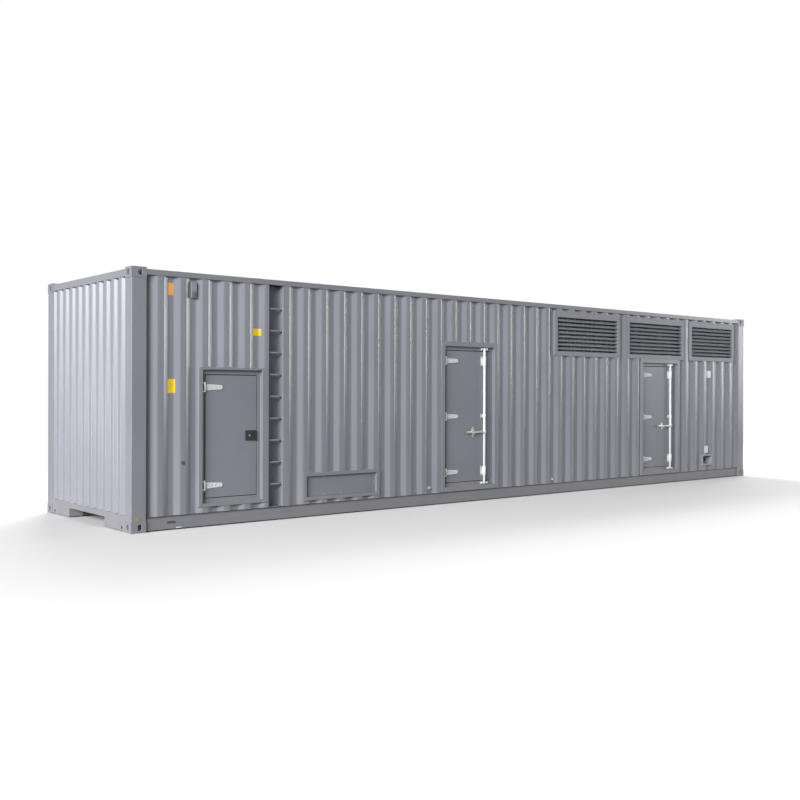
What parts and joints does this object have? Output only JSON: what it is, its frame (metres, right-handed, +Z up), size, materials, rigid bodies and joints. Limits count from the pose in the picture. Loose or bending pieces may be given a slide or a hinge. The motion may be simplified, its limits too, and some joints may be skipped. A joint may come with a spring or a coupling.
{
  "type": "containerized generator set",
  "caption": "Corrugated steel container housing for a generating set, with hinged service doors, lock rods, air louvres, a recessed ladder, a cable hatch and a fuel filling box",
  "frame": {"origin": "middle of the base, level with the undersides of the corner castings", "axes": "+X along the length away from the tunnel end, -Y towards the service side with the doors, +Z up"},
  "size_m": [12.192, 2.438, 2.896],
  "materials": {
    "grey_paint": "satin grey paint over folded steel, dusty at the foot",
    "hardware_white": "pale zinc and white paint, slightly worn",
    "underframe": "dark protective paint",
    "floor_board": "sealed plywood",
    "latch_black": "black moulded latch",
    "earthing_brass": "dull brass"
  },
  "bodies": {
    "container": {"bottom_corner_castings": "grey_paint", "top_corner_castings": "grey_paint", "corner_posts": "grey_paint", "top_side_rails": "grey_paint", "bottom_side_rails": "grey_paint", "end_headers": "grey_paint", "front_sill": "grey_paint", "rear_sill": "grey_paint", "cross_members": "underframe", "gooseneck_tunnel": "underframe", "floor_deck": "floor_board", "roof_sheet": "grey_paint", "end_walls": "grey_paint", "side_wall_bays": "grey_paint", "side_wall_infill": "grey_paint", "walls_under_louvres": "grey_paint", "louvres": "grey_paint", "door_jambs": "grey_paint", "door_heads_and_sills": "grey_paint", "hinge_brackets": "hardware_white", "rod_keepers": "hardware_white", "back_doors": "grey_paint", "back_door_fittings": "hardware_white", "ladder_recess": "grey_paint", "ladder_rungs": "grey_paint", "cable_hatch_frame": "grey_paint", "cable_hatch_cover": "grey_paint", "fuel_box": "grey_paint", "fuel_inlet": "underframe", "ventilators": "grey_paint", "earthing_studs": "earthing_brass"},
    "control_door": {"control_door": "grey_paint", "control_door_straps": "hardware_white", "latch_housing": "latch_black"},
    "latch_paddle": {"latch_paddle": "latch_black"},
    "front_service_door": {"front_service_door": "grey_paint", "front_door_straps": "hardware_white", "front_rod_brackets": "hardware_white"},
    "front_lock_rod": {"front_lock_rod": "hardware_white"},
    "rear_service_door": {"rear_service_door": "grey_paint", "rear_door_straps": "hardware_white", "rear_rod_brackets": "hardware_white"},
    "rear_lock_rod": {"rear_lock_rod": "hardware_white"}
  },
  "joints": [
    {"name": "control_door_hinge", "type": "hinge", "parent": "container", "child": "control_door", "pos_m": [-5.181, -1.179, 1], "axis": [0, 0, -1], "range_deg": [0, 120]},
    {"name": "latch_pull", "type": "hinge", "parent": "control_door", "child": "latch_paddle", "pos_m": [-4.609, -1.17206, 1.026], "axis": [0, 0, -1], "range_deg": [0, 35], "stiffness_Nm_per_rad": 0.6},
    {"name": "front_door_hinge", "type": "hinge", "parent": "container", "child": "front_service_door", "pos_m": [-1.424, -1.179, 1.2], "axis": [0, 0, -1], "range_deg": [0, 120]},
    {"name": "front_rod_turn", "type": "hinge", "parent": "front_service_door", "child": "front_lock_rod", "pos_m": [-0.689, -1.194, 0.975], "axis": [0, 0, 1], "range_deg": [0, 110]},
    {"name": "rear_door_hinge", "type": "hinge", "parent": "container", "child": "rear_service_door", "pos_m": [3.079, -1.179, 1.2], "axis": [0, 0, -1], "range_deg": [0, 120]},
    {"name": "rear_rod_turn", "type": "hinge", "parent": "rear_service_door", "child": "rear_lock_rod", "pos_m": [3.814, -1.194, 0.975], "axis": [0, 0, 1], "range_deg": [0, 110]}
  ]
}
